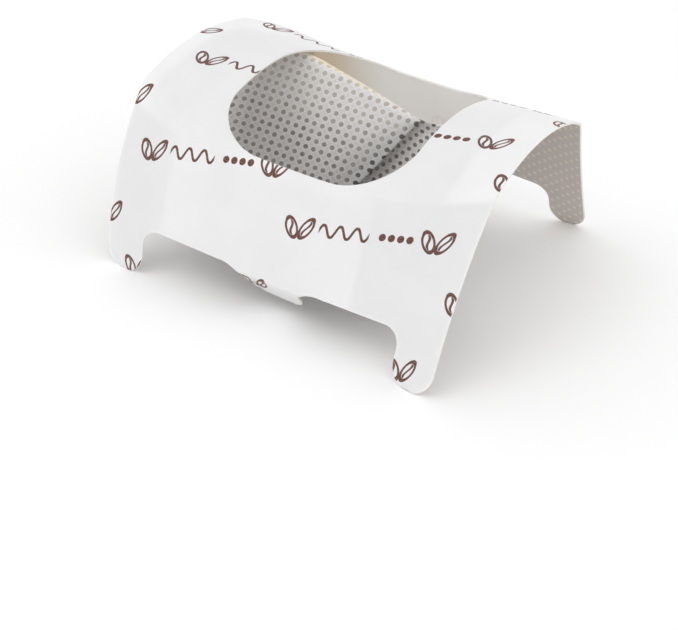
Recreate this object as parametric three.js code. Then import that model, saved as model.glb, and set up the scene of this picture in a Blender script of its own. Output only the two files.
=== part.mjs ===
// A drip coffee bag, opened for use: one printed paper card, folded into an arched roof with a
// pouring hole and two hanging flanges, and the filter pouch that hangs in it.
// Units are millimetres and +Z is up. +X runs along the creases, -Y is the front flange's side.
// The bag stands on the tips of its four ears, with the origin in the middle of the floor below it.
import * as THREE from "three";

// ---- Driving dimensions: the flat sheet. u runs across it and v along it, from its middle line.
const CARD_HALF_WIDTH = 45;
const CARD_THICKNESS = 0.4;
const CREASE_V_MIDDLE = 28.8; // the two creases bow: further apart in the middle ...
const CREASE_V_SIDE = 21.2; // ... than at the sheet's side edges
const CREASE_BOW_POWER = 3.1;
const NOTCH_V = 53.3; // straight edge between an ear and the tab
const EAR_LENGTH = 12; // past the notch edge
const EAR_TIP_RADIUS = 5.3;
const EAR_FILLET = 4;
const TAB_LENGTH = 9.6; // past the notch edge
const TAB_HALF_WIDTH = 7.1;
const TAB_ROOT_HALF_WIDTH = 12.7;
const TAB_ROOT_LENGTH = 3.4;
const TAB_TIP_RADIUS = 5;
const HOLE_HALF_LENGTH = 23.5;
const HOLE_HALF_WIDTH = 28.8;
const HOLE_CORNER_RADIUS = 14.2;
const HOLE_BACK_LEFT_CORNER = [20, 26]; // this one is cut rounder: its reach across and along the sheet

// ---- Driving dimensions: the folded form. Each row holds the value at the left edge, the middle
// and the right edge, because the sheet is pulled a little out of square. Angles are in degrees.
const CREST_Y = [5.9, 6.5, 8.3];
const CREST_Z = [29.2, 27.3, 28.5]; // above the level plane that the form is measured from
const CREST_SLOPE = [-5.3, -4.2, -4.5];
const ROOF_CURL = [0.967, 1.073, 1.268]; // per millimetre of sheet
const FRONT_FOLD = [29.9, 30.3, 16.3];
const FRONT_CURL = [0.821, 0.424, 0.544];
const BACK_FOLD = [50.5, 36.8, 35.3];
const BACK_CURL = [0.172, 0.08, -0.04];
const CREASE_SOFTNESS = 0.64; // half the length of sheet over which a crease turns
const SHEAR = -0.026; // sideways lean of the sheet per millimetre of v
const BACK_LEAN = [0, 0, -0.12]; // sideways, per millimetre past the back crease ...
const BACK_LEAN_EASING = 0.0073; // ... easing off by this share at each millimetre
const BACK_LIFT = 6.3; // the roof's back left stays this much flatter in one place:
const BACK_LIFT_U = -37.8; // its middle across the sheet ...
const BACK_LIFT_REACH = 10.8; // ... its half-width there ...
const BACK_LIFT_START = 12.7; // ... and the v at which it starts
const BACK_LIFT_SOFTNESS = 2;
const TAB_FOLD = 56; // the tabs turn inwards at the notch edge
const TAB_FOLD_START = 0.8; // past the notch edge
const TAB_FOLD_REACH = 16; // half-width of sheet that the tab's fold can reach
const STAND_TILT = 5.82; // about X, and ...
const STAND_ROLL = 0.67; // ... about Y: these bring all four ear tips to one level
const STAND_SHIFT = new THREE.Vector3(0.15, -4.6, 13.68); // then brings the floor's middle to the origin

// ---- Driving dimensions: the filter pouch.
const CLOTH_THICKNESS = 0.5;
const GAP = 0.35; // left between the cloth and the card
const MOUTH_LEFT = -41.5; // the pleat draws the pouch's right side in
const MOUTH_RIGHT = 35.5;
const MOUTH_FRONT_DROP = 2.5; // the front wall starts this far below the front crease
const MOUTH_SIDE_END = 11; // the v at which a side of the mouth meets the back wall
const SEAM_LEFT = -36.5;
const SEAM_RIGHT = 28.5;
const SEAM_BACK_INSET = 1; // of the outermost points on the seam's back
const SEAM_Y = -7;
const SEAM_Z = -12;
const SEAM_LIP_SHARE = 0.05; // share of the pouch's depth that is sealed shut at the bottom
const SEAM_THICKNESS = 1.6;
// The back wall's free top edge: [x, y, z] from the left side of the mouth to the right.
const BACK_EDGE = [
  [-36, 18.9, 25.2],
  [-21, 18.9, 24.6],
  [-4, 17, 21.8],
  [10.8, 15, 18.9],
  [16.5, 15.6, 18.8],
  [26, 17.2, 21.6],
  [32, 17.8, 23.4],
];
const PLEAT_TOP_X = 10.8; // the pleat's ridge where it leaves the top edge ...
const PLEAT_FOOT_X = -10.4; // ... and where it runs out at the bottom seam
const PLEAT_DEPTH = 5.5;
const PLEAT_STEP = 1.2; // sideways room that the pleat's return takes
const PLEAT_REACH = 0.7; // share of the wall beside it over which the pleat's depth runs out

// ---- Driving dimensions: the cloth laps glued inside the two flanges, one at each side.
const LAP_THICKNESS = 0.3;
const LAP_START = 4; // below the crease
const LAP_INNER_U = 27; // its edge towards the flange's middle, which stays bare
const LAP_INSET = 0.8; // kept back from the card's edges

// ---- Fineness of the faceted solids.
const SIDE_COLUMNS = 7; // columns of faces from the hole's end to the sheet's side
const EAR_COLUMNS = 3; // the outer ones, which run on into the ears
// Shares of a flange's length at which it has rows, close together at the crease.
const FLANGE_ROWS = [0, 0.05, 0.12, 0.25, 0.42, 0.6, 0.8, 0.94, 1];
const CORNER_ROWS = 6; // over each round corner of the hole
const FILLET_ROWS = 3; // over the fillet at an ear's root
const TIP_ROWS = 5; // over a round tip or the tab's flared root
const TAB_COLUMNS = 4;
const LAP_ROWS = 6;
const MIDDLE_COLUMNS = 2; // of a flange, from the middle to the tab's side
const FOLD_STEPS = 40; // of the sheet's curve, from the crest to any point
const NORMAL_STEP = 0.2; // each way, to find which way the sheet faces
const POUCH_LEVELS = 9;
const FRONT_POINTS = 20; // round the mouth, along the front wall ...
const SIDE_POINTS = 9; // ... and along each side
// Shares of the back wall's two panels, counted from the pleat, at which the mouth has a point.
const BEHIND_PLEAT = [1, 0.8, 0.6, 0.4, 0.2, 0.05];
const FRONT_PANEL = [0, 0.06, 0.2, 0.35, 0.5, 0.65, 0.8, 0.92, 1];

const radians = THREE.MathUtils.degToRad;

/** Reads a left / middle / right row at u by a parabola through its three values. */
function across(row, u) {
  const t = u / CARD_HALF_WIDTH;
  return row[0] * 0.5 * t * (t - 1) + row[1] * (1 - t * t) + row[2] * 0.5 * t * (t + 1);
}

/** The distance of the crease from the sheet's middle line at u. */
function creaseV(u) {
  const share = Math.min(1, Math.abs(u) / CARD_HALF_WIDTH) ** CREASE_BOW_POWER;
  return CREASE_V_MIDDLE + (CREASE_V_SIDE - CREASE_V_MIDDLE) * share;
}

/** A smooth step from 0 to 1 round zero, over about twice the given softness each way. */
function softStep(distance, softness) {
  return 1 / (1 + Math.exp(-distance / softness));
}

/** How far the sheet has turned downwards at (u, v), in degrees, going out from the crest. */
function turn(u, v) {
  const away = Math.abs(v);
  const crease = creaseV(u);
  const [fold, curl] = v < 0 ? [FRONT_FOLD, FRONT_CURL] : [BACK_FOLD, BACK_CURL];
  const pastNotch = softStep(away - NOTCH_V - TAB_FOLD_START, CREASE_SOFTNESS / 2);
  const tab = Math.abs(u) < TAB_FOLD_REACH ? pastNotch : 0;
  const lifted = softStep(v - BACK_LIFT_START, BACK_LIFT_SOFTNESS) - softStep(v - crease, CREASE_SOFTNESS);
  const lift = v > 0 ? Math.exp(-(((u - BACK_LIFT_U) / BACK_LIFT_REACH) ** 2)) * lifted : 0;
  return (
    -BACK_LIFT * lift +
    across(ROOF_CURL, u) * Math.min(away, crease) +
    across(fold, u) * softStep(away - crease, CREASE_SOFTNESS) +
    across(curl, u) * Math.min(Math.max(away - crease, 0), NOTCH_V + EAR_LENGTH - crease) +
    TAB_FOLD * tab
  );
}

/** The angle of the sheet above the horizontal at (u, v), going towards +Y, in radians. */
function slope(u, v) {
  const down = turn(u, v);
  return radians(across(CREST_SLOPE, u) + (v < 0 ? down : -down));
}

/** The folded sheet's middle surface at (u, v), before the bag is stood up. */
function foldedPoint(u, v) {
  let y = across(CREST_Y, u);
  let z = across(CREST_Z, u);
  for (let i = 0; i < FOLD_STEPS; i++) {
    const angle = slope(u, (v * (i + 0.5)) / FOLD_STEPS);
    y += (Math.cos(angle) * v) / FOLD_STEPS;
    z += (Math.sin(angle) * v) / FOLD_STEPS;
  }
  const past = Math.max(0, v - creaseV(u));
  const lean = across(BACK_LEAN, u) * past * (1 - BACK_LEAN_EASING * past);
  return new THREE.Vector3(u + SHEAR * v + lean, y, z);
}

/** The point at height w above the folded sheet's middle surface. */
function cardPoint(u, v, w) {
  const alongU = foldedPoint(u + NORMAL_STEP, v).sub(foldedPoint(u - NORMAL_STEP, v));
  const angle = slope(u, v);
  const past = v - creaseV(u);
  const sideways = SHEAR + (past > 0 ? across(BACK_LEAN, u) * (1 - 2 * BACK_LEAN_EASING * past) : 0);
  const alongV = new THREE.Vector3(sideways, Math.cos(angle), Math.sin(angle));
  const normal = alongU.cross(alongV).normalize();
  return foldedPoint(u, v).addScaledVector(normal, w);
}

/** How far the pouring hole's corner reaches across and along the sheet: end and side are -1 or 1. */
function holeCorner(end, side) {
  return end > 0 && side < 0 ? HOLE_BACK_LEFT_CORNER : [HOLE_CORNER_RADIUS, HOLE_CORNER_RADIUS];
}

/** The half-length of the pouring hole at v, on its left (side = -1) or right (side = 1). */
function holeHalf(v, side) {
  const [wide, deep] = holeCorner(Math.sign(v), side);
  const past = Math.min(Math.max(Math.abs(v) - HOLE_HALF_WIDTH + deep, 0) / deep, 1);
  return HOLE_HALF_LENGTH - wide * (1 - Math.sqrt(1 - past ** 2));
}

/** Moves a straight row of the flat sheet so that the row at the middle crease follows the bow. */
function bowed(u, v) {
  const away = Math.abs(v);
  const flangeLength = NOTCH_V - CREASE_V_MIDDLE;
  const share = away < CREASE_V_MIDDLE ? away / CREASE_V_MIDDLE : (NOTCH_V - away) / flangeLength;
  const shift = (creaseV(u) - CREASE_V_MIDDLE) * Math.max(0, share);
  return new THREE.Vector2(u, v + Math.sign(v) * shift);
}

/** count + 1 numbers from a to b. */
function spread(a, b, count) {
  return Array.from({ length: count + 1 }, (_, i) => a + ((b - a) * i) / count);
}

/** Evenly spaced numbers from a to b, without the last one. */
function spaced(a, b, count) {
  return spread(a, b, count).slice(0, -1);
}

/** A row of the flat sheet through the given places across it. */
function row(places, v) {
  return places.map((u) => bowed(u, v));
}

/** Distances from the middle line at which the roof has rows, close together at the round corners. */
function roofRows() {
  const straight = HOLE_HALF_WIDTH - HOLE_CORNER_RADIUS;
  const angles = spread(0, Math.PI / 2, CORNER_ROWS);
  const corner = angles.map((angle) => straight + HOLE_CORNER_RADIUS * Math.sin(angle));
  const half = [...spaced(0, straight, 2), ...corner];
  return [...half.slice(1).map((v) => -v).reverse(), ...half];
}

/** The bridge beside the pouring hole: side = -1 on the left, 1 on the right. */
function bridge(side) {
  return roofRows().map((v) =>
    row(spread(holeHalf(v, side), CARD_HALF_WIDTH, SIDE_COLUMNS).map((u) => side * u), v),
  );
}

/** Places across a flange that run from the hole's end at the crease to the notches at the far edge. */
function flangePlaces(end, share) {
  const earRoot = CARD_HALF_WIDTH - 2 * EAR_TIP_RADIUS - EAR_FILLET;
  const atNotch = [
    ...spaced(0, TAB_ROOT_HALF_WIDTH, MIDDLE_COLUMNS),
    ...spaced(TAB_ROOT_HALF_WIDTH, earRoot, SIDE_COLUMNS - EAR_COLUMNS),
    ...spread(earRoot, CARD_HALF_WIDTH, EAR_COLUMNS),
  ];
  const half = (side) => {
    const holeEnd = HOLE_HALF_LENGTH - holeCorner(end, side)[0];
    const middle = spaced(0, holeEnd, MIDDLE_COLUMNS);
    const atCrease = [...middle, ...spread(holeEnd, CARD_HALF_WIDTH, SIDE_COLUMNS)];
    return atCrease.map((u, i) => side * (u + (atNotch[i] - u) * share));
  };
  return [...half(-1).slice(1).reverse(), ...half(1)];
}

/** A flange from its crease down to the notch edge. */
function flange(end) {
  const length = NOTCH_V - CREASE_V_MIDDLE;
  return FLANGE_ROWS.map((share) => row(flangePlaces(end, share), end * (CREASE_V_MIDDLE + length * share)));
}

/** One ear, from its root at the notch edge to its round tip, its outline set in by inset. */
function ear(end, side, notch, inset) {
  const centre = CARD_HALF_WIDTH - EAR_TIP_RADIUS;
  const reach = EAR_TIP_RADIUS - inset;
  const tipV = NOTCH_V + EAR_LENGTH - EAR_TIP_RADIUS;
  const filletTurns = spread(0, Math.PI / 2, FILLET_ROWS);
  const fillet = filletTurns.map((angle) => notch + EAR_FILLET * (1 - Math.cos(angle)));
  const tip = spread(0, Math.PI / 2, TIP_ROWS).map((angle) => tipV + reach * Math.sin(angle));
  return [...fillet, ...tip.filter((v) => v > notch + EAR_FILLET)].map((v) => {
    const below = Math.max(0, notch + EAR_FILLET - v);
    const inner = centre - reach - EAR_FILLET + Math.sqrt(EAR_FILLET ** 2 - below ** 2);
    const round = Math.sqrt(Math.max(0, reach ** 2 - Math.max(0, v - tipV) ** 2));
    const from = below > 0 ? inner : centre - round;
    return row(spread(from, centre + round, EAR_COLUMNS).map((u) => side * u), end * v);
  });
}

/** One tab, from its flared root at the notch edge to its round-cornered end. */
function tab(end) {
  const flare = TAB_ROOT_HALF_WIDTH - TAB_HALF_WIDTH;
  const roundV = NOTCH_V + TAB_LENGTH - TAB_TIP_RADIUS;
  const turns = spread(0, Math.PI / 2, TIP_ROWS);
  const root = turns.map((angle) => NOTCH_V + TAB_ROOT_LENGTH * (1 - Math.cos(angle)));
  const tip = turns.map((angle) => roundV + TAB_TIP_RADIUS * Math.sin(angle));
  return [...root, ...tip].map((v) => {
    const below = Math.max(0, NOTCH_V + TAB_ROOT_LENGTH - v) / TAB_ROOT_LENGTH;
    const past = Math.max(0, v - roundV);
    const half =
      TAB_ROOT_HALF_WIDTH -
      flare * Math.sqrt(1 - below ** 2) -
      (TAB_TIP_RADIUS - Math.sqrt(Math.max(0, TAB_TIP_RADIUS ** 2 - past ** 2)));
    return spread(-half, half, TAB_COLUMNS).map((u) => new THREE.Vector2(u, end * v));
  });
}

/**
 * Turns a point of the folded form into the standing bag's frame. The ear tips would dip a
 * fraction of a millimetre below the floor, so each ends in a small flat on it.
 */
function stand(point) {
  const turned = point.applyEuler(new THREE.Euler(radians(STAND_TILT), radians(STAND_ROLL), 0));
  turned.add(STAND_SHIFT);
  return turned.setZ(Math.max(0, turned.z));
}

/**
 * Joins patches of the flat sheet, each a list of rows with as many points in one as in the next,
 * gives them a thickness between the heights low and high, and folds the plate like the card.
 */
function foldedPlate(patches, low, high) {
  const flat = [];
  const known = new Map();
  const vertex = (p) => {
    const key = `${p.x.toFixed(3)} ${p.y.toFixed(3)}`;
    if (!known.has(key)) known.set(key, flat.push(p) - 1);
    return known.get(key);
  };
  const faces = [];
  const addFace = (a, b, c) => {
    if (a === b || b === c || c === a) return;
    const turned = flat[b].clone().sub(flat[a]).cross(flat[c].clone().sub(flat[a])) < 0;
    faces.push(turned ? [a, c, b] : [a, b, c]);
  };
  for (const rows of patches) {
    const ids = rows.map((points) => points.map(vertex));
    for (let r = 0; r + 1 < ids.length; r++) {
      for (let k = 0; k + 1 < ids[r].length; k++) {
        addFace(ids[r][k], ids[r][k + 1], ids[r + 1][k + 1]);
        addFace(ids[r][k], ids[r + 1][k + 1], ids[r + 1][k]);
      }
    }
  }
  const edges = new Set(faces.flatMap(([a, b, c]) => [`${a} ${b}`, `${b} ${c}`, `${c} ${a}`]));
  const count = flat.length; // vertex i is on the upper face and i + count below it
  const index = faces.flatMap(([a, b, c]) => [a, b, c, a + count, c + count, b + count]);
  for (const edge of edges) {
    const [a, b] = edge.split(" ").map(Number);
    if (!edges.has(`${b} ${a}`)) index.push(a + count, b + count, b, a + count, b, a);
  }
  const points = [high, low].flatMap((w) => flat.map((p) => stand(cardPoint(p.x, p.y, w))));
  const geometry = new THREE.BufferGeometry().setFromPoints(points);
  geometry.setIndex(index);
  return geometry;
}

function cardGeometry() {
  const ends = [-1, 1].flatMap((end) => [
    flange(end),
    ear(end, -1, NOTCH_V, 0),
    ear(end, 1, NOTCH_V, 0),
    tab(end),
  ]);
  return foldedPlate([bridge(-1), bridge(1), ...ends], -CARD_THICKNESS / 2, CARD_THICKNESS / 2);
}

/** The cloth lap inside one flange, from its crease to its ear: end and side are -1 or 1. */
function lapGeometry(end, side) {
  const high = -CARD_THICKNESS / 2 - GAP;
  const notch = NOTCH_V - LAP_INSET;
  const start = CREASE_V_MIDDLE + LAP_START;
  const earRoot = CARD_HALF_WIDTH - 2 * EAR_TIP_RADIUS - EAR_FILLET + LAP_INSET;
  const places = [LAP_INNER_U, ...spread(earRoot, CARD_HALF_WIDTH - LAP_INSET, EAR_COLUMNS)];
  const strip = spread(start, notch, LAP_ROWS).map((v) => row(places.map((u) => side * u), end * v));
  return foldedPlate([strip, ear(end, side, notch, LAP_INSET)], high - LAP_THICKNESS, high);
}

/** The point on the back wall's free top edge at x. */
function backEdgePoint(x) {
  let i = 0;
  while (i < BACK_EDGE.length - 2 && x > BACK_EDGE[i + 1][0]) i++;
  const [a, b] = [BACK_EDGE[i], BACK_EDGE[i + 1]];
  const share = (x - a[0]) / (b[0] - a[0]);
  return new THREE.Vector3(x, a[1] + (b[1] - a[1]) * share, a[2] + (b[2] - a[2]) * share);
}

/** A place on the seam's round end: side = -1 on the left, 1 on the right; turn runs from 0 to 1. */
function seamEnd(side, turnShare) {
  const radius = SEAM_THICKNESS / 2;
  const angle = Math.PI * turnShare;
  const x = (side < 0 ? SEAM_LEFT : SEAM_RIGHT) + side * radius * Math.sin(angle);
  return new THREE.Vector3(x, SEAM_Y - side * radius * Math.cos(angle), SEAM_Z);
}

/**
 * The mouth's edge and, under each of its points, the place on the bottom seam, counter-clockwise
 * from the left end of the front wall. push is how far the wall bulges backwards at mid-depth.
 */
function pouchRulings() {
  const under = -CARD_THICKNESS / 2 - GAP;
  const frontV = (u) => -creaseV(u) - MOUTH_FRONT_DROP;
  const atSeam = (x, side) => new THREE.Vector3(x, SEAM_Y + (side * SEAM_THICKNESS) / 2, SEAM_Z);
  const front = spaced(0, 1, FRONT_POINTS).map((share) => {
    const u = MOUTH_LEFT + (MOUTH_RIGHT - MOUTH_LEFT) * share;
    const foot = atSeam(SEAM_LEFT + (SEAM_RIGHT - SEAM_LEFT) * share, -1);
    return { top: cardPoint(u, frontV(u), under), foot, push: 0 };
  });
  const side = (end) =>
    spaced(0, 1, SIDE_POINTS).map((share) => {
      const along = end > 0 ? share : 1 - share;
      const u = end < 0 ? MOUTH_LEFT : MOUTH_RIGHT;
      const v = frontV(u) * (1 - along) + MOUTH_SIDE_END * along;
      const top = cardPoint(u, v, under);
      return { top, foot: seamEnd(end, share), push: 0 };
    });
  const back = (shares, outerX, nearX, push) =>
    shares.map((share) => {
      const x = nearX + (outerX - nearX) * share;
      const outerFoot = outerX < 0 ? SEAM_LEFT + SEAM_BACK_INSET : SEAM_RIGHT - SEAM_BACK_INSET;
      const foot = atSeam(PLEAT_FOOT_X + (outerFoot - PLEAT_FOOT_X) * share, 1);
      return { top: backEdgePoint(x), foot, push: push * Math.min(1, (1 - share) / PLEAT_REACH) };
    });
  const [leftX, rightX] = [BACK_EDGE[0][0], BACK_EDGE[BACK_EDGE.length - 1][0]];
  const behindPleat = back(BEHIND_PLEAT, rightX, PLEAT_TOP_X + PLEAT_STEP, PLEAT_DEPTH);
  const frontPanel = back(FRONT_PANEL, leftX, PLEAT_TOP_X, 0);
  return [...front, ...side(1), ...behindPleat, ...frontPanel, ...side(-1)];
}

/** One closed ring of the pouch wall at depth t (0 at the mouth, 1 at the seam), moved inwards. */
function pouchRing(rulings, t, inwards) {
  const ring = rulings.map(({ top, foot, push }) => {
    const p = top.clone().lerp(foot, t);
    p.y += push * Math.sin(Math.PI * t);
    return p;
  });
  return ring.map((p, i) => {
    const before = ring[(i + ring.length - 1) % ring.length];
    const after = ring[(i + 1) % ring.length];
    const run = after.clone().sub(before).setZ(0).normalize();
    return new THREE.Vector3(p.x - run.y * inwards, p.y + run.x * inwards, p.z);
  });
}

/** Faces that shut a long thin ring, laced from its front half to its back half. */
function laced(ring) {
  const total = ring.length;
  const lead = Math.floor(SIDE_POINTS / 2);
  const frontLength = FRONT_POINTS + 2 * lead;
  const frontHalf = Array.from({ length: frontLength }, (_, i) => (i + total - lead) % total);
  const backHalf = Array.from({ length: total - frontLength }, (_, i) => total - lead - 1 - i);
  const faces = [];
  let [i, j] = [0, 0];
  while (i + 1 < frontHalf.length || j + 1 < backHalf.length) {
    const nextFront = i + 1 < frontHalf.length ? ring[frontHalf[i + 1]].x : Infinity;
    const nextBack = j + 1 < backHalf.length ? ring[backHalf[j + 1]].x : Infinity;
    if (nextFront <= nextBack) {
      faces.push([frontHalf[i], frontHalf[i + 1], backHalf[j]]);
      i++;
    } else {
      faces.push([frontHalf[i], backHalf[j + 1], backHalf[j]]);
      j++;
    }
  }
  return faces;
}

/** The open-topped pouch: an outer and an inner skin, joined at the mouth, both shut at the seam. */
function pouchGeometry() {
  const rulings = pouchRulings();
  const outerDepths = spread(0, 1, POUCH_LEVELS);
  const innerDepths = outerDepths.map((t) => t * (1 - SEAM_LIP_SHARE)).reverse();
  const rings = [
    ...innerDepths.map((t) => pouchRing(rulings, t, CLOTH_THICKNESS)),
    ...outerDepths.map((t) => pouchRing(rulings, t, 0)),
  ];
  const around = rulings.length;
  const index = [];
  for (let level = 0; level + 1 < rings.length; level++) {
    for (let i = 0; i < around; i++) {
      const [a, b] = [level * around + i, level * around + ((i + 1) % around)];
      index.push(a, b + around, b, a, a + around, b + around);
    }
  }
  const last = rings.length - 1;
  for (const [a, b, c] of laced(rings[0])) index.push(a, b, c);
  for (const [a, b, c] of laced(rings[last])) {
    index.push(last * around + a, last * around + c, last * around + b);
  }
  const geometry = new THREE.BufferGeometry().setFromPoints(rings.flat().map(stand));
  geometry.setIndex(index);
  return geometry;
}

const cardPaper = new THREE.MeshStandardMaterial({ color: 0xf1f1f2, roughness: 0.72, metalness: 0 });
const filterCloth = new THREE.MeshStandardMaterial({ color: 0xc4bfbb, roughness: 0.92, metalness: 0 });
const lapCloth = new THREE.MeshStandardMaterial({ color: 0xa9a39e, roughness: 0.92, metalness: 0 });

function part(name, geometry, material) {
  const mesh = new THREE.Mesh(geometry, material);
  mesh.name = name;
  return mesh;
}

const bag = new THREE.Group();
bag.add(part("card", cardGeometry(), cardPaper));
bag.add(part("filter_pouch", pouchGeometry(), filterCloth));
for (const [end, endName] of [[-1, "front"], [1, "back"]]) {
  for (const [side, sideName] of [[-1, "left"], [1, "right"]]) {
    bag.add(part(`filter_lap_${endName}_${sideName}`, lapGeometry(end, side), lapCloth));
  }
}

export default bag;
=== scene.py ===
"""A drip coffee bag, opened for use: a printed card folded into a roof with ears and tabs, the
dotted filter pouch that hangs in it, and the cloth linings inside its flanges.

Lengths in the forms are millimetres and angles are degrees. u runs across the flat card and v
along it, both from its middle. +X runs along the creases, -Y is the front and +Z is up.
"""

import logging
import math
from dataclasses import dataclass, field
from enum import Enum

import bmesh
import bpy
import numpy as np
from mathutils import Matrix, Vector


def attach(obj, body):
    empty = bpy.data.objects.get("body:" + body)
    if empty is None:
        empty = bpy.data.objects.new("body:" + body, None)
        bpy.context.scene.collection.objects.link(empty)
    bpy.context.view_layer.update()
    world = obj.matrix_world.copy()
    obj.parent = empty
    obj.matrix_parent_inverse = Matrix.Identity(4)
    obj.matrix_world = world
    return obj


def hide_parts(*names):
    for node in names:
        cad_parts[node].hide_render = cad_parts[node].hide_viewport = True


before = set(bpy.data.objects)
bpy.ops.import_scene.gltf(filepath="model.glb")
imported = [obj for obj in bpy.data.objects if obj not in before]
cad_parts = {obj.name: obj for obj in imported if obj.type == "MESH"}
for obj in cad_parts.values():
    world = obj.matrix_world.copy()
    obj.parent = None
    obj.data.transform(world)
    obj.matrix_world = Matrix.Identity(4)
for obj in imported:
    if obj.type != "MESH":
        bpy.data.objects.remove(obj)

LOG = logging.getLogger("drip_bag")
MM = 0.001
UV_SPAN = 160.0  # millimetres of flat sheet across the whole UV square, its middle at 0.5
MERGE = 0.002  # millimetres below which points of the flat sheet are one


class End(Enum):
    """The two flanges."""

    FRONT = -1
    BACK = 1


class Side(Enum):
    """The two sides of the sheet."""

    LEFT = -1
    RIGHT = 1


class Wall(Enum):
    """The runs of cloth round the pouch's mouth, counter-clockwise from the front left."""

    FRONT = 0
    RIGHT = 1
    STRIP = 2
    PLEAT = 3
    PANEL = 4
    LEFT = 5


def spread(start: float, stop: float, count: int) -> list[float]:
    """Evenly spaced numbers.

    Args:
        start: The first number.
        stop: The last number.
        count: How many steps lie between them.

    Returns:
        count + 1 numbers from start to stop.
    """
    return [start + (stop - start) * i / count for i in range(count + 1)]


def crowded(start: float, stop: float, count: int, power: float) -> list[float]:
    """Numbers that lie closer together near the start.

    Args:
        start: The first number.
        stop: The last number.
        count: How many steps lie between them.
        power: How strongly they crowd, 1 for even spacing.

    Returns:
        count + 1 numbers from start to stop.
    """
    return [start + (stop - start) * (i / count) ** power for i in range(count + 1)]


def soft_step(distance: np.ndarray, softness: float) -> np.ndarray:
    """A smooth step from 0 to 1 round zero."""
    return 1 / (1 + np.exp(-np.clip(distance / softness, -50, 50)))


def ramp(value: np.ndarray, low: float, high: float) -> np.ndarray:
    """A smooth rise from 0 at low to 1 at high."""
    t = np.clip((value - low) / (high - low), 0, 1)
    return t * t * (3 - 2 * t)


@dataclass(frozen=True)
class Across:
    """A value at the sheet's left edge, middle and right edge, with a parabola through them."""

    left: float
    middle: float
    right: float

    def at(self, t: np.ndarray) -> np.ndarray:
        """The value at one place across the sheet.

        Args:
            t: The place, which is -1 at the left edge and 1 at the right.

        Returns:
            The value there.
        """
        return (
            self.left * 0.5 * t * (t - 1)
            + self.middle * (1 - t * t)
            + self.right * 0.5 * t * (t + 1)
        )


@dataclass(frozen=True)
class Standing:
    """How the folded form is turned and lifted to stand on its four ear tips."""

    tilt: float = 5.82
    roll: float = 0.67
    shift: tuple[float, float, float] = (0.15, -4.6, 13.68)

    def apply(self, points: np.ndarray) -> np.ndarray:
        """Stands points up.

        Args:
            points: Points of the folded form, one a row, in millimetres.

        Returns:
            The same points in the row frame, in metres, none of them below the floor.
        """
        turn = Matrix.Rotation(math.radians(self.tilt), 3, "X") @ Matrix.Rotation(
            math.radians(self.roll), 3, "Y"
        )
        stood = points @ np.array(turn).T + np.array(self.shift)
        stood[:, 2] = np.maximum(stood[:, 2], 0)
        return stood * MM


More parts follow.
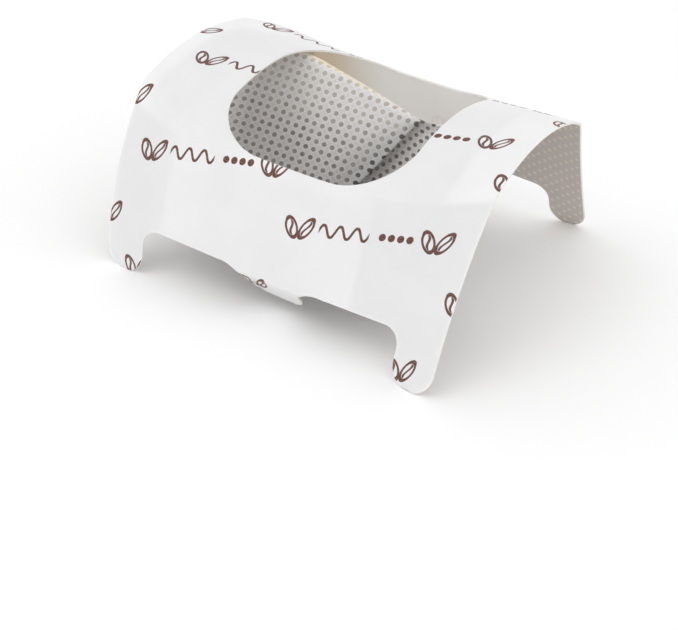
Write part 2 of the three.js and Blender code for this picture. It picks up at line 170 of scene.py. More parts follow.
@dataclass(frozen=True)
class SheetForm:
    """The flat card's outline and the way it is folded."""

    half_width: float = 45.0
    thickness: float = 0.4
    crease_v_middle: float = 28.8
    crease_v_side: float = 21.2
    crease_bow_power: float = 3.1
    notch_v: float = 53.3
    ear_length: float = 12.0
    ear_tip_radius: float = 5.3
    ear_fillet: float = 4.0
    tab_length: float = 9.6
    tab_half_width: float = 7.1
    tab_root_half_width: float = 12.7
    tab_root_length: float = 3.4
    tab_tip_radius: float = 5.0
    hole_half_length: float = 23.5
    hole_half_width: float = 28.8
    hole_corner: tuple[float, float] = (14.2, 14.2)  # its reach across and along the sheet
    hole_back_left_corner: tuple[float, float] = (20.0, 26.0)
    crest_y: Across = Across(5.9, 6.5, 8.3)
    crest_z: Across = Across(29.2, 27.3, 28.5)
    crest_slope: Across = Across(-5.3, -4.2, -4.5)
    roof_curl: Across = Across(0.967, 1.073, 1.268)
    front_fold: Across = Across(29.9, 30.3, 16.3)
    front_curl: Across = Across(0.821, 0.424, 0.544)
    back_fold: Across = Across(50.5, 36.8, 35.3)
    back_curl: Across = Across(0.172, 0.08, -0.04)
    crease_softness: float = 0.64
    shear: float = -0.026
    back_lean: Across = Across(0.0, 0.0, -0.12)
    back_lean_easing: float = 0.0073
    back_lift: float = 6.3
    back_lift_u: float = -37.8
    back_lift_reach: float = 10.8
    back_lift_start: float = 12.7
    back_lift_softness: float = 2.0
    tab_fold: float = 56.0
    tab_fold_start: float = 0.8
    tab_fold_reach: float = 16.0
    steps: int = 40
    probe: float = 0.2  # how far to each side the surface's direction is felt
    standing: Standing = Standing()

    def crease_v(self, u: np.ndarray) -> np.ndarray:
        """The distance of the crease from the sheet's middle line at u."""
        share = np.minimum(1, np.abs(u) / self.half_width) ** self.crease_bow_power
        return self.crease_v_middle + (self.crease_v_side - self.crease_v_middle) * share

    def slope(self, u: np.ndarray, v: np.ndarray) -> np.ndarray:
        """The sheet's angle above the horizontal, going towards +Y.

        Args:
            u: Places across the flat sheet.
            v: Places along it.

        Returns:
            The angles at those places, in radians.
        """
        t = u / self.half_width
        away, crease, front = np.abs(v), self.crease_v(u), v < 0
        fold = np.where(front, self.front_fold.at(t), self.back_fold.at(t))
        curl = np.where(front, self.front_curl.at(t), self.back_curl.at(t))
        past_notch = soft_step(away - self.notch_v - self.tab_fold_start, self.crease_softness / 2)
        lifted = soft_step(v - self.back_lift_start, self.back_lift_softness) - soft_step(
            v - crease, self.crease_softness
        )
        lift = np.exp(-(((u - self.back_lift_u) / self.back_lift_reach) ** 2))
        down = (
            -self.back_lift * lift * np.where(front, 0, lifted)
            + self.roof_curl.at(t) * np.minimum(away, crease)
            + fold * soft_step(away - crease, self.crease_softness)
            + curl * np.clip(away - crease, 0, self.notch_v + self.ear_length - crease)
            + self.tab_fold * np.where(np.abs(u) < self.tab_fold_reach, past_notch, 0)
        )
        return np.radians(self.crest_slope.at(t) + np.where(front, down, -down))

    def middle(self, u: np.ndarray, v: np.ndarray) -> np.ndarray:
        """The middle surface of the folded sheet.

        Args:
            u: Places across the flat sheet.
            v: Places along it.

        Returns:
            The points there, one a row, before the bag is stood up.
        """
        t = u / self.half_width
        y, z = self.crest_y.at(t), self.crest_z.at(t)
        for i in range(self.steps):
            angle = self.slope(u, v * (i + 0.5) / self.steps)
            y = y + np.cos(angle) * v / self.steps
            z = z + np.sin(angle) * v / self.steps
        past = np.maximum(0, v - self.crease_v(u))
        lean = self.back_lean.at(t) * past * (1 - self.back_lean_easing * past)
        return np.stack([u + self.shear * v + lean, y, z], axis=-1)

    def folded(self, flat: np.ndarray) -> np.ndarray:
        """Folds points of the flat sheet.

        Args:
            flat: Points as u, v and the height above the sheet's middle surface.

        Returns:
            The folded points, before the bag is stood up.
        """
        u, v, w = flat[:, 0], flat[:, 1], flat[:, 2]
        here = self.middle(u, v)
        along_u = self.middle(u + self.probe, v) - self.middle(u - self.probe, v)
        angle = self.slope(u, v)
        past = v - self.crease_v(u)
        leaning = self.back_lean.at(u / self.half_width) * (1 - 2 * self.back_lean_easing * past)
        sideways = self.shear + np.where(past > 0, leaning, 0)
        along_v = np.stack([sideways, np.cos(angle), np.sin(angle)], axis=-1)
        normal = np.cross(along_u, along_v)
        normal /= np.linalg.norm(normal, axis=1, keepdims=True)
        return here + normal * w[:, None]

    def bowed(self, u: float, v: float) -> tuple[float, float]:
        """Moves a straight row of the sheet so that the row at the crease follows its bow.

        Args:
            u: The place across the sheet.
            v: The place along it on a straight row.

        Returns:
            The place of the same point on the bowed row.
        """
        away, crease = abs(v), self.crease_v_middle
        share = away / crease if away < crease else (self.notch_v - away) / (self.notch_v - crease)
        shift = (float(self.crease_v(np.float64(u))) - crease) * max(0.0, share)
        return u, v + math.copysign(1.0, v) * shift

    def corner(self, back: bool, side: Side) -> tuple[float, float]:
        """How far a corner of the pouring hole reaches across and along the sheet."""
        return self.hole_back_left_corner if back and side is Side.LEFT else self.hole_corner

    def hole_half(self, v: float, side: Side) -> float:
        """The half-length of the pouring hole at v, on one side.

        Args:
            v: The place along the sheet.
            side: The side of the sheet.

        Returns:
            How far the hole reaches there from the sheet's middle.
        """
        wide, deep = self.corner(v > 0, side)
        past = min(max(abs(v) - self.hole_half_width + deep, 0.0) / deep, 1.0)
        return self.hole_half_length - wide * (1 - math.sqrt(1 - past**2))


Rows = list[list[tuple[float, float]]]


@dataclass
class FlatPlate:
    """A thin plate cut from the flat sheet, made of four-sided patches, then folded with it."""

    name: str
    form: SheetForm
    low: float
    high: float
    mesh: bmesh.types.BMesh = field(default_factory=bmesh.new)

    def add_patch(self, rows: Rows) -> None:
        """Lays a grid over one patch.

        Args:
            rows: The patch's points on the flat sheet, each row as long as the next.
        """
        columns, lines = len(rows[0]) - 1, len(rows) - 1
        made = bmesh.ops.create_grid(self.mesh, x_segments=columns, y_segments=lines, size=0.5)
        for vert in made["verts"]:
            column = round((vert.co.x + 0.5) * columns)
            line = round((vert.co.y + 0.5) * lines)
            vert.co = Vector((*rows[line][column], 0.0))

    def thicken(self) -> None:
        """Joins the patches and pulls them up into a plate with upright sides."""
        bmesh.ops.remove_doubles(self.mesh, verts=self.mesh.verts[:], dist=MERGE)
        bmesh.ops.dissolve_degenerate(self.mesh, edges=self.mesh.edges[:], dist=MERGE)
        bmesh.ops.recalc_face_normals(self.mesh, faces=self.mesh.faces[:])
        if sum(face.normal.z for face in self.mesh.faces) > 0:
            bmesh.ops.reverse_faces(self.mesh, faces=self.mesh.faces[:])
        lifted = bmesh.ops.extrude_face_region(
            self.mesh, geom=self.mesh.faces[:], use_keep_orig=True
        )
        for vert in self.mesh.verts:
            vert.co.z = self.low
        for item in lifted["geom"]:
            if isinstance(item, bmesh.types.BMVert):
                item.co.z = self.high
        bmesh.ops.recalc_face_normals(self.mesh, faces=self.mesh.faces[:])

    def mark(self) -> None:
        """Gives the plate its UV map, its face slots and its sharp rims while it is flat.

        Slot 0 is the upper face, slot 1 the lower face and slot 2 the cut edge.
        """
        layer = self.mesh.loops.layers.uv.new("sheet")
        for face in self.mesh.faces:
            face.normal_update()
            face.smooth = True
            upward = face.normal.z
            face.material_index = 0 if upward > 0.5 else 1 if upward < -0.5 else 2
            for loop in face.loops:
                loop[layer].uv = [c / UV_SPAN + 0.5 for c in loop.vert.co.xy]
        for edge in self.mesh.edges:
            edge.smooth = len({f.material_index for f in edge.link_faces}) == 1

    def finish(self, materials: list[bpy.types.Material]) -> bpy.types.Object:
        """Folds the plate and turns it into an object.

        Args:
            materials: The finishes of the upper face, the lower face and the cut edge.

        Returns:
            The finished piece.
        """
        self.thicken()
        self.mark()
        flat = np.array([v.co[:] for v in self.mesh.verts], float)
        for vert, place in zip(self.mesh.verts, self.form.standing.apply(self.form.folded(flat))):
            vert.co = Vector(place)
        return finished(self.name, self.mesh, materials)


def finished(
    name: str, mesh: bmesh.types.BMesh, materials: list[bpy.types.Material]
) -> bpy.types.Object:
    """Turns a bmesh into an object at the origin.

    Args:
        name: The piece's name.
        mesh: The bmesh, in metres, which is freed.
        materials: The finishes of its slots.

    Returns:
        The new object, in the scene.
    """
    data = bpy.data.meshes.new(name)
    mesh.to_mesh(data)
    mesh.free()
    for material in materials:
        data.materials.append(material)
    piece = bpy.data.objects.new(name, data)
    bpy.context.collection.objects.link(piece)
    return piece


@dataclass
class CardCut:
    """The patches of the card's outline, fine enough to shade smoothly."""

    form: SheetForm
    side_columns: int = 28
    ear_columns: int = 12
    middle_columns: int = 8
    corner_rows: int = 30
    straight_rows: int = 12
    flange_rows: int = 44
    flange_crowding: float = 1.7
    fillet_rows: int = 10
    shank_rows: int = 3
    tip_rows: int = 16

    def row(self, places: list[float], v: float) -> list[tuple[float, float]]:
        """A row of the flat sheet through the given places across it."""
        return [self.form.bowed(u, v) for u in places]

    def bridge(self, side: Side) -> Rows:
        """The strip of roof beside the pouring hole.

        Args:
            side: The side of the hole.

        Returns:
            Its rows, from front to back.
        """
        form = self.form
        straight = form.hole_half_width - form.hole_corner[1]
        half = spread(0, straight, self.straight_rows)[:-1] + [
            straight + form.hole_corner[1] * math.sin(angle)
            for angle in spread(0, math.pi / 2, self.corner_rows)
        ]
        rows = [-v for v in reversed(half[1:])] + half
        return [
            self.row(
                [
                    side.value * u
                    for u in spread(form.hole_half(v, side), form.half_width, self.side_columns)
                ],
                v,
            )
            for v in rows
        ]

    def flange_places(self, end: End, share: float) -> list[float]:
        """Places across a flange, from the hole's end at the crease to the notches' ends.

        Args:
            end: The flange.
            share: How far down the flange the row lies, from 0 to 1.

        Returns:
            The places, from left to right.
        """
        form = self.form
        ear_root = form.half_width - 2 * form.ear_tip_radius - form.ear_fillet
        at_notch = (
            spread(0, form.tab_root_half_width, self.middle_columns)[:-1]
            + spread(form.tab_root_half_width, ear_root, self.side_columns - self.ear_columns)[:-1]
            + spread(ear_root, form.half_width, self.ear_columns)
        )
        halves = {}
        for side in Side:
            hole_end = form.hole_half_length - form.corner(end is End.BACK, side)[0]
            at_crease = spread(0, hole_end, self.middle_columns)[:-1] + spread(
                hole_end, form.half_width, self.side_columns
            )
            halves[side] = [side.value * (a + (b - a) * share) for a, b in zip(at_crease, at_notch)]
        return halves[Side.LEFT][:0:-1] + halves[Side.RIGHT]

    def flange(self, end: End) -> Rows:
        """A flange from its crease to the notch edge, its rows close together at the crease.

        Args:
            end: The flange.

        Returns:
            Its rows, from the crease down.
        """
        form = self.form
        length = form.notch_v - form.crease_v_middle
        return [
            self.row(
                self.flange_places(end, share), end.value * (form.crease_v_middle + length * share)
            )
            for share in crowded(0, 1, self.flange_rows, self.flange_crowding)
        ]

    def ear(self, end: End, side: Side, notch: float, inset: float) -> Rows:
        """One ear, from its root at the notch edge to its round tip.

        Args:
            end: The flange it belongs to.
            side: The side it is on.
            notch: The place of the notch edge along the sheet.
            inset: How far its outline keeps inside the card's.

        Returns:
            Its rows.
        """
        form = self.form
        centre = form.half_width - form.ear_tip_radius
        reach, fillet = form.ear_tip_radius - inset, form.ear_fillet
        tip_v = form.notch_v + form.ear_length - form.ear_tip_radius
        places = [
            notch + fillet * (1 - math.cos(angle))
            for angle in spread(0, math.pi / 2, self.fillet_rows)
        ]
        places += spread(notch + fillet, tip_v, self.shank_rows)[1:-1]
        places += [
            tip_v + reach * math.sin(angle) for angle in spread(0, math.pi / 2, self.tip_rows)
        ]
        rows = []
        for v in places:
            below = max(0.0, notch + fillet - v)
            half = math.sqrt(max(0.0, reach**2 - max(0.0, v - tip_v) ** 2))
            inner = centre - half
            if below > 0:
                inner = centre - reach - fillet + math.sqrt(max(0.0, fillet**2 - below**2))
            span = spread(inner, centre + half, self.ear_columns)
            rows.append(self.row([side.value * u for u in span], end.value * v))
        return rows

    def tab(self, end: End) -> Rows:
        """One tab, from its flared root at the notch edge to its round-cornered end.

        Args:
            end: The flange it belongs to.

        Returns:
            Its rows, from the root to the end.
        """
        form = self.form
        flare = form.tab_root_half_width - form.tab_half_width
        round_v = form.notch_v + form.tab_length - form.tab_tip_radius
        angles = spread(0, math.pi / 2, self.tip_rows)
        places = [form.notch_v + form.tab_root_length * (1 - math.cos(a)) for a in angles]
        places += [round_v + form.tab_tip_radius * math.sin(a) for a in angles]
        rows = []
        for v in places:
            below = max(0.0, form.notch_v + form.tab_root_length - v) / form.tab_root_length
            past = max(0.0, v - round_v)
            corner = form.tab_tip_radius - math.sqrt(max(0.0, form.tab_tip_radius**2 - past**2))
            half = form.tab_root_half_width - flare * math.sqrt(max(0.0, 1 - below**2)) - corner
            rows.append([(u, end.value * v) for u in spread(-half, half, 2 * self.middle_columns)])
        return rows


@dataclass
class PrintedCard:
    """The folded card with its print, its bare inner side and its cut edge."""

    form: SheetForm
    cut: CardCut

    def build(self, finishes: "Finishes") -> bpy.types.Object:
        """Makes the card.

        Args:
            finishes: The bag's materials.

        Returns:
            The card as one piece.
        """
        half = self.form.thickness / 2
        plate = FlatPlate("printed_card", self.form, -half, half)
        for side in Side:
            plate.add_patch(self.cut.bridge(side))
        for end in End:
            plate.add_patch(self.cut.flange(end))
            plate.add_patch(self.cut.tab(end))
            for side in Side:
                plate.add_patch(self.cut.ear(end, side, self.form.notch_v, 0.0))
        card = plate.finish([finishes.printed, finishes.inner, finishes.edge])
        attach(card, "root")
        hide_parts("card")
        return card


@dataclass
class Linings:
    """The cloth glued inside the flanges' sides and ears."""

    form: SheetForm
    cut: CardCut
    lift: float = 0.03  # off the card
    thickness: float = 0.16
    inset: float = 0.25
    inner_u_left: float = 30.0  # the left ones stay clear of the pouring hole
    inner_u_right: float = 21.0
    start_left: float = 4.0  # past the crease
    start_right: float = 0.4
    rows: int = 30
    inner_columns: int = 4

    def build_one(self, end: End, side: Side, cloth: bpy.types.Material) -> bpy.types.Object:
        """Makes one lining.

        Args:
            end: The flange it lies in.
            side: The side of that flange.
            cloth: Its finish.

        Returns:
            The lining.
        """
        form, cut = self.form, self.cut
        high = -form.thickness / 2 - self.lift
        name = f"lining_{end.name.lower()}_{side.name.lower()}"
        plate = FlatPlate(name, form, high - self.thickness, high)
        notch = form.notch_v - self.inset
        ear_root = form.half_width - 2 * form.ear_tip_radius - form.ear_fillet + self.inset
        outer = form.half_width - self.inset
        inner, start = (
            (self.inner_u_left, self.start_left)
            if side is Side.LEFT
            else (self.inner_u_right, self.start_right)
        )
        places = spread(inner, ear_root, self.inner_columns)[:-1]
        places += spread(ear_root, outer, cut.ear_columns)
        places = [side.value * u for u in places]
        first = form.crease_v_middle + start
        plate.add_patch([cut.row(places, end.value * v) for v in spread(first, notch, self.rows)])
        plate.add_patch(cut.ear(end, side, notch, self.inset))
        lining = plate.finish([cloth, cloth, cloth])
        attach(lining, "root")
        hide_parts(f"filter_lap_{end.name.lower()}_{side.name.lower()}")
        return lining

    def build(self, finishes: "Finishes") -> list[bpy.types.Object]:
        """Makes all four linings."""
        return [self.build_one(end, side, finishes.lining) for end in End for side in Side]


@dataclass(frozen=True)
class ClothShade:
    """The painted shade of the pouch's cloth and its dots on each run, from 0 to 1, darkest deep
    down, in the pleat's fold and on the strip beside the ridge.
    """

    panel: float = 0.12
    panel_deep: float = 0.3
    panel_left: float = -0.06
    pleat: float = 0.2
    pleat_fold: float = 0.6
    strip: float = 0.85
    strip_clear: float = -0.8
    strip_deep: float = 0.3
    plain: float = 0.5
    dots: float = 0.08
    dots_deep: float = 0.62
    dots_by_ridge: float = -0.35
    dots_left: float = -0.2
    dots_plain: float = 0.9

    def cloth(self, wall: Wall, share: np.ndarray, t: np.ndarray) -> np.ndarray:
        """The painted shade of the cloth there.

        Args:
            wall: The run of cloth.
            share: How far along it, from 0 to 1.
            t: How deep, from 0 at the mouth to 1 at the bottom.

        Returns:
            The painted shade there.
        """
        if wall is Wall.PANEL:
            left = self.panel_left * ramp(share, 0.4, 0.7)
            return self.panel + self.panel_deep * ramp(t, 0.1, 0.5) + left
        if wall is Wall.PLEAT:
            return self.pleat + self.pleat_fold * ramp(1 - share, 0.15, 0.5)
        if wall is Wall.STRIP:
            clear = self.strip_clear * ramp(1 - share, 0.0, 0.3)
            return self.strip + clear + self.strip_deep * ramp(t, 0.1, 0.5)
        return self.plain + 0 * share

    def dot(self, wall: Wall, share: np.ndarray, t: np.ndarray) -> np.ndarray:
        """The painted shade of the cloth's dots there.

        Args:
            wall: The run of cloth.
            share: How far along it, from 0 to 1.
            t: How deep, from 0 at the mouth to 1 at the bottom.

        Returns:
            The painted shade there.
        """
        if wall is Wall.PANEL:
            by_ridge = (1 - ramp(share, 0.02, 0.22)) * ramp(t, 0.2, 0.45)
            aside = self.dots_by_ridge * by_ridge + self.dots_left * ramp(share, 0.4, 0.7)
            return self.dots + self.dots_deep * ramp(t, 0.05, 0.45) + aside
        return self.dots_plain + 0 * share


@dataclass
class ClothMesh:
    """The pouch's bmesh with its layers."""

    mesh: bmesh.types.BMesh = field(default_factory=bmesh.new)
    merge: float = 0.02  # millimetres

    def __post_init__(self) -> None:
        """Adds the layers: the dots' places, the distances from the edge, and the painted shade of
        the cloth and of its dots.
        """
        self.sheet = self.mesh.loops.layers.uv.new("sheet")
        self.edge = self.mesh.loops.layers.uv.new("edge")
        self.shade = self.mesh.verts.layers.float.new("shade")
        self.dot_shade = self.mesh.verts.layers.float.new("dot_shade")

    def close(self, low: float, inside: Vector) -> None:
        """Joins the walls, closes the bottom seam and turns the faces outwards.

        Args:
            low: The height in metres below which an open edge belongs to the seam.
            inside: A point inside the pouch.
        """
        mesh = self.mesh
        bmesh.ops.remove_doubles(mesh, verts=mesh.verts[:], dist=self.merge * MM)
        seam = [
            e for e in mesh.edges if e.is_boundary and all(v.co.z < low for v in e.verts)
        ]
        bmesh.ops.edgeloop_fill(mesh, edges=seam)
        bmesh.ops.triangulate(mesh, faces=[f for f in mesh.faces if len(f.verts) > 4])
        bmesh.ops.recalc_face_normals(mesh, faces=mesh.faces[:])
        outward = sum((f.calc_center_median() - inside).dot(f.normal) for f in mesh.faces)
        if outward < 0:
            bmesh.ops.reverse_faces(mesh, faces=mesh.faces[:])
        for face in mesh.faces:
            face.smooth = True


@dataclass
class FilterPouch:
    """The cloth pouch: a front wall, two sides, and a back wall with a diagonal pleat."""

    form: SheetForm
    thickness: float = 0.22
    gap: float = 0.3
    mouth_left: float = -41.5  # the pleat draws the right side in
    mouth_right: float = 35.5
    mouth_front_drop: float = 2.5
    mouth_side_end: float = 11.0
    seam_left: float = -36.5
    seam_right: float = 28.5
    seam_y: float = -7.0
    seam_z: float = -12.0
    seam_gap: float = 0.5  # between the two outer skins
    back_edge: tuple[tuple[float, float, float], ...] = (
        (-36, 18.9, 25.2),
        (-21, 18.9, 24.6),
        (-4, 17.0, 21.8),
        (10.8, 15.0, 18.9),
        (16.5, 15.6, 18.8),
        (26, 17.2, 21.6),
        (32, 17.8, 23.4),
    )
    edge_easing: float = 2.5  # how far round each corner of that edge it is eased
    edge_samples: int = 9
    ridge_top_x: float = 10.8
    ridge_foot_x: float = -10.4
    pleat_depth: float = 5.5
    pleat_lap: float = 2.6  # how far the ridge hangs over the fold behind it
    pleat_rounding: float = 0.75
    edge_rise: float = 0.2  # the panel's top edge is this much longer, then curls backwards
    edge_rise_reach: float = 14.0
    curl_length: float = 2.2
    curl_turn: float = 75.0
    panel_slope: float = 55.5
    panel_length: float = 45.0  # down its slope
    row_start_z: float = 18.9
    left_row_start: float = 15.0
    dot_pitch: float = 2.2
    # From one dot to the next, across the cloth and up it, along a row and then along a column.
    panel_steps: tuple[tuple[float, float], ...] = ((2.246, -0.067), (0.14, 1.918))
    strip_steps: tuple[tuple[float, float], ...] = ((1.34, 1.45), (-1.4, 1.36))
    levels: int = 70
    level_crowding: float = 1.6
    columns: tuple[int, ...] = (70, 26, 34, 26, 72, 26)  # of each wall in turn
    seam_zone: float = 12.0  # open edges below this height belong to the bottom seam
    inside: tuple[float, float, float] = (0.0, 0.0, 20.0)
    painted_shade: ClothShade = ClothShade()

    def edge_point(self, x: np.ndarray) -> np.ndarray:
        """Points of the back wall's top edge, its corners eased.

        Args:
            x: Places along it.

        Returns:
            The points, one a row.
        """
        ends = [self.side_end(side) for side in Side]
        xs, ys, zs = (np.array(c, float) for c in zip(ends[0], *self.back_edge, ends[1]))
        reach = np.clip(np.minimum(x - xs[0], xs[-1] - x), 0, self.edge_easing)
        steps = np.linspace(-1.0, 1.0, self.edge_samples)
        y = np.mean([np.interp(x + step * reach, xs, ys) for step in steps], axis=0)
        z = np.mean([np.interp(x + step * reach, xs, zs) for step in steps], axis=0)
        return np.stack([x, y, z], axis=-1)

    def side_top(self, side: Side, v: np.ndarray) -> np.ndarray:
        """Points of the mouth's side edge, just under the card.

        Args:
            side: The side of the pouch.
            v: Places along the flat sheet.

        Returns:
            The points, one a row.
        """
        u = np.full_like(v, self.mouth_left if side is Side.LEFT else self.mouth_right)
        under = np.full_like(v, -self.form.thickness / 2 - self.gap)
        return self.form.folded(np.stack([u, v, under], axis=-1))

    def side_end(self, side: Side) -> list[float]:
        """The point where a side of the mouth meets the back wall."""
        return self.side_top(side, np.array([self.mouth_side_end]))[0].tolist()

    def wall_point(self, wall: Wall, share: np.ndarray, t: np.ndarray) -> np.ndarray:
        """A place on the cloth's outer skin.

        Args:
            wall: The run of cloth.
            share: How far along it, from 0 to 1, counter-clockwise round the mouth.
            t: How deep, from 0 at the mouth to 1 at the bottom.

        Returns:
            The points, one a row, before the bag is stood up.
        """
        under = -self.form.thickness / 2 - self.gap
        half = self.seam_gap / 2
        depth = t[:, None]
        if wall is Wall.FRONT:
            u = self.mouth_left + (self.mouth_right - self.mouth_left) * share
            v = -self.form.crease_v(u) - self.mouth_front_drop
            top = self.form.folded(np.stack([u, v, np.full_like(u, under)], axis=-1))
            foot = self.on_seam(
                self.seam_left + (self.seam_right - self.seam_left) * share, -half
            )
        elif wall in (Wall.RIGHT, Wall.LEFT):
            side = Side.RIGHT if wall is Wall.RIGHT else Side.LEFT
            along = share if side is Side.RIGHT else 1 - share
            u = np.float64(self.mouth_right if side is Side.RIGHT else self.mouth_left)
            front_v = -self.form.crease_v(u) - self.mouth_front_drop
            top = self.side_top(side, front_v * (1 - along) + self.mouth_side_end * along)
            seam = self.seam_right if side is Side.RIGHT else self.seam_left
            foot = self.on_seam(np.full_like(share, seam), 0)
            foot[:, 1] += half * (2 * along - 1)
        else:
            return self.back_point(wall, share, t)
        return top + (foot - top) * depth

    def on_seam(self, x: np.ndarray, offset: float) -> np.ndarray:
        """Points of the bottom seam.

        Args:
            x: Places along the seam.
            offset: The distance from the seam's middle plane, towards the back.

        Returns:
            The points, one a row.
        """
        return np.stack(
            [x, np.full_like(x, self.seam_y + offset), np.full_like(x, self.seam_z)], axis=-1
        )

    def pleat_opening(self, t: np.ndarray) -> np.ndarray:
        """How far open the pleat is at depth t, from 0 to 1."""
        return np.sin(np.pi * np.clip(t, 0, 1)) ** self.pleat_rounding

    def back_point(self, wall: Wall, share: np.ndarray, t: np.ndarray) -> np.ndarray:
        """Places on the back wall's strip, pleat or panel.

        Args:
            wall: The run of cloth.
            share: How far along it, from 0 to 1.
            t: How deep, from 0 at the mouth to 1 at the bottom.

        Returns:
            The points, one a row.
        """
        left, right = self.side_end(Side.LEFT)[0], self.side_end(Side.RIGHT)[0]
        opening = self.pleat_opening(t)
        lap, depth = self.pleat_lap * opening, self.pleat_depth * opening
        if wall is Wall.PLEAT:
            away = 1 - share  # 0 where it leaves the panel, 1 where it meets the strip
            across = np.zeros_like(share)
            aside = lap * (np.sin(2 * np.pi * away) - 1)
            back = depth * (away - np.sin(2 * np.pi * away) / (2 * np.pi))
            outer = left
        elif wall is Wall.PANEL:
            across, outer = share, left
            aside, back = -lap * (1 - share), np.zeros_like(share)
        else:
            across, outer = 1 - share, right
            aside = -lap * (1 - across)
            back = depth * ramp(1 - across, 0.0, 0.75)
        top = self.edge_point(self.ridge_top_x + (outer - self.ridge_top_x) * across)
        seam = self.seam_left if outer < 0 else self.seam_right
        foot_x = self.ridge_foot_x + (seam - self.ridge_foot_x) * across
        foot = self.on_seam(foot_x, self.seam_gap / 2)
        places = top + (foot - top) * t[:, None]
        places[:, 0] += aside
        places[:, 1] += back
        return places

    def curled(self, wall: Wall, share: np.ndarray, t: np.ndarray) -> np.ndarray:
        """Places on the cloth with the panel's top edge lengthened and curled backwards.

        Args:
            wall: The run of cloth.
            share: How far along it.
            t: How deep, from 0 at the mouth to 1 at the bottom.

        Returns:
            The points, one a row.
        """
        places = self.wall_point(wall, share, t)
        if wall not in (Wall.PANEL, Wall.PLEAT, Wall.STRIP):
            return places
        strength = {Wall.PANEL: 1 - ramp(share, 0.9, 1.0), Wall.PLEAT: share * 0 + 1}.get(
            wall, ramp(share, 0.6, 0.9)
        )
        length = self.panel_length * t
        slope = math.radians(self.panel_slope)
        turn = math.radians(self.curl_turn)
        radius = self.curl_length / turn
        along = np.clip(self.curl_length - length, 0, None)
        angle = slope - along / radius
        y = radius * (math.sin(slope) - np.sin(angle)) - along * math.cos(slope)
        z = radius * (np.cos(angle) - math.cos(slope)) - along * math.sin(slope)
        rise = self.edge_rise * (1 - ramp(length, 0.0, self.edge_rise_reach))
        places[:, 1] += strength * (y + rise * math.cos(slope))
        places[:, 2] += strength * (z + rise * math.sin(slope))
        return places

    def build(self, finishes: "Finishes") -> bpy.types.Object:
        """Makes the pouch.

        Args:
            finishes: The bag's materials.

        Returns:
            The pouch as one piece.
        """
        cloth = ClothMesh()
        for wall in Wall:
            self.add_wall(cloth, wall)
        cloth.close(self.seam_zone * MM, Vector(self.inside) * MM)
        pouch = finished("pouch_cloth", cloth.mesh, [finishes.cloth])
        wall = pouch.modifiers.new("cloth_thickness", "SOLIDIFY")
        wall.thickness = self.thickness * MM
        wall.offset = -1.0
        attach(pouch, "root")
        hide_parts("filter_pouch")
        return pouch

    def add_wall(self, cloth: ClothMesh, wall: Wall) -> None:
        """Lays a grid over one wall and maps the cloth's weave onto it.

        Args:
            cloth: The pouch's mesh.
            wall: The run of cloth.
        """
        depths = crowded(0, 1, self.levels, self.level_crowding)
        columns = self.columns[wall.value]
        made = bmesh.ops.create_grid(
            cloth.mesh, x_segments=columns, y_segments=self.levels, size=0.5
        )
        verts = made["verts"]
        share = np.array([v.co.x + 0.5 for v in verts])
        t = np.array([depths[round((v.co.y + 0.5) * self.levels)] for v in verts])
        plain = self.wall_point(wall, share, t)
        weave = self.weave(wall, plain)
        # Painted shade of the cloth and its dots, by run and depth.
        shade, dot_shade = self.painted_shade.cloth(wall, share, t), self.painted_shade.dot(wall, share, t)
        stood = self.form.standing.apply(self.curled(wall, share, t))
        index = {}
        for i, vert in enumerate(verts):
            vert.co = Vector(stood[i])
            vert[cloth.shade], vert[cloth.dot_shade] = float(shade[i]), float(dot_shade[i])
            index[vert] = i
        for face in {face for vert in verts for face in vert.link_faces}:
            for loop in face.loops:
                i = index[loop.vert]
                loop[cloth.sheet].uv = [c / UV_SPAN + 0.5 for c in weave[i]]
                loop[cloth.edge].uv = (plain[i][0] / UV_SPAN + 0.5, t[i])

    def weave(self, wall: Wall, places: np.ndarray) -> np.ndarray:
        """Where the cloth's dot rows run.

        Args:
            wall: The run of cloth.
            places: Points on it.

        Returns:
            Their places along and across the dot rows, in millimetres.
        """
        slant = (places[:, 2] - self.row_start_z) / math.sin(math.radians(self.panel_slope))
        along = places[:, 0].copy()
        if wall is Wall.RIGHT:
            along = self.mouth_right - places[:, 1]
        if wall is Wall.LEFT:
            along = self.mouth_left + places[:, 1] - self.left_row_start
        if wall in (Wall.FRONT, Wall.RIGHT, Wall.LEFT):
            slant = places[:, 2] - self.row_start_z
        steps = self.strip_steps if wall in (Wall.STRIP, Wall.RIGHT) else self.panel_steps
        to_rows = np.linalg.inv(np.array(steps).T) * self.dot_pitch
        return np.stack([along, slant], axis=-1) @ to_rows.T


# ---- Finishes


